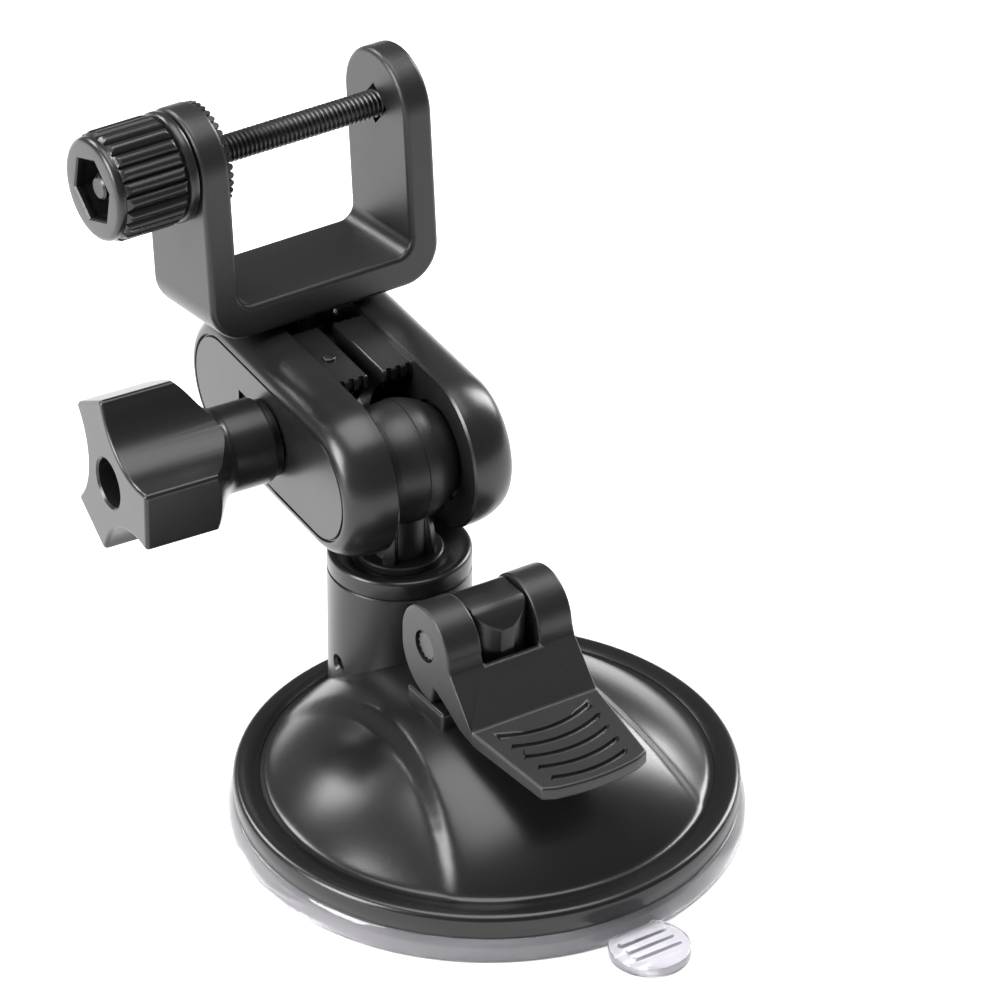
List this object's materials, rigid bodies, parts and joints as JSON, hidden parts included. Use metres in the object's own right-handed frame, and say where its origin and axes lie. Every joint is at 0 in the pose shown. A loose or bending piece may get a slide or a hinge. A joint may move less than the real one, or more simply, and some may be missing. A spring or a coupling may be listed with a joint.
{
  "type": "windscreen suction mount",
  "caption": "Windscreen suction mount for a dash camera: lever-locked suction cup, swivel column, clamped double-ball arm and a U bracket with a threaded cross rod.",
  "frame": {"origin": "centre of the suction pad's underside, on the glass", "axes": "+Z away from the glass, -Y towards the locking lever and pull tab, -X towards the clamp knob; +X completes the right-handed set"},
  "size_m": [0.0713, 0.1057, 0.087],
  "materials": {
    "black_plastic": "satin black moulding with a fine grain",
    "grey_plastic": "smooth dark plastic",
    "clear_pad": "clear soft plastic",
    "spring_steel": "plain steel wire",
    "pin_steel": "dull steel",
    "screw_steel": "zinc-plated steel",
    "nut_steel": "dull steel",
    "black_rod": "black oxide",
    "brass": "plain brass"
  },
  "bodies": {
    "cup": {"cup_shell": "black_plastic", "suction_pad": "clear_pad", "column_collar": "black_plastic", "cross_pin": "pin_steel", "return_spring": "spring_steel"},
    "plunger": {"plunger": "grey_plastic"},
    "lever": {"cam_lever": "black_plastic", "lever_pin": "pin_steel"},
    "stud": {"lower_ball_stud": "black_plastic"},
    "arm": {"arm_rear_half": "black_plastic", "clamp_screw": "screw_steel"},
    "arm_front": {"arm_front_half": "black_plastic"},
    "knob": {"clamp_knob": "black_plastic", "knob_insert": "brass", "clamp_washer": "screw_steel"},
    "bracket": {"u_bracket": "black_plastic", "far_leg_nut": "nut_steel"},
    "rod": {"threaded_rod": "black_rod"},
    "thumb": {"thumb_nut": "black_plastic", "thumb_insert_nut": "nut_steel"}
  },
  "joints": [
    {"name": "plunger_slide", "type": "slide", "parent": "cup", "child": "plunger", "axis": [0, 0, 1], "range_m": [-0.0025, 0], "deforming": ["return_spring", "suction_pad"]},
    {"name": "lever_hinge", "type": "hinge", "parent": "plunger", "child": "lever", "pos_m": [0, 0, 0.0297], "axis": [-1, 0, 0], "range_deg": [0, 90.01]},
    {"name": "column_swivel", "type": "hinge", "parent": "cup", "child": "stud", "pos_m": [0, 0.0223, 0.02], "axis": [0, 0, 1], "range_deg": [-90, 40]},
    {"name": "arm_pitch", "type": "hinge", "parent": "stud", "child": "arm", "pos_m": [0, 0.0223, 0.04345], "axis": [0.9986, -0.0523, 0], "range_deg": [-8, 90]},
    {"name": "arm_release", "type": "slide", "parent": "arm", "child": "arm_front", "axis": [-0.9986, 0.0523, 0], "range_m": [0, 0.0012]},
    {"name": "knob_turn", "type": "hinge", "parent": "arm_front", "child": "knob", "pos_m": [0.00072, 0.03603, 0.04345], "axis": [-0.9986, 0.0523, 0], "range_deg": [0, 540.01]},
    {"name": "bracket_pitch", "type": "hinge", "parent": "arm", "child": "bracket", "pos_m": [0.00144, 0.04976, 0.04345], "axis": [0.9986, -0.0523, 0], "range_deg": [-120, 5]},
    {"name": "rod_travel", "type": "slide", "parent": "bracket", "child": "rod", "axis": [-0.9996, -0.0258, 0.0072], "range_m": [0, 0.0308]},
    {"name": "thumb_turn", "type": "hinge", "parent": "rod", "child": "thumb", "pos_m": [0.00161, 0.05307, 0.0791], "axis": [-0.9996, -0.0258, 0.0072], "range_deg": [0, 15840.1]}
  ],
  "couplings": [
    {"joint": "lever_hinge", "follows": "plunger_slide", "rad_per_m": -628.32},
    {"joint": "knob_turn", "follows": "arm_release", "rad_per_m": 7854},
    {"joint": "thumb_turn", "follows": "rod_travel", "rad_per_m": 8976}
  ]
}
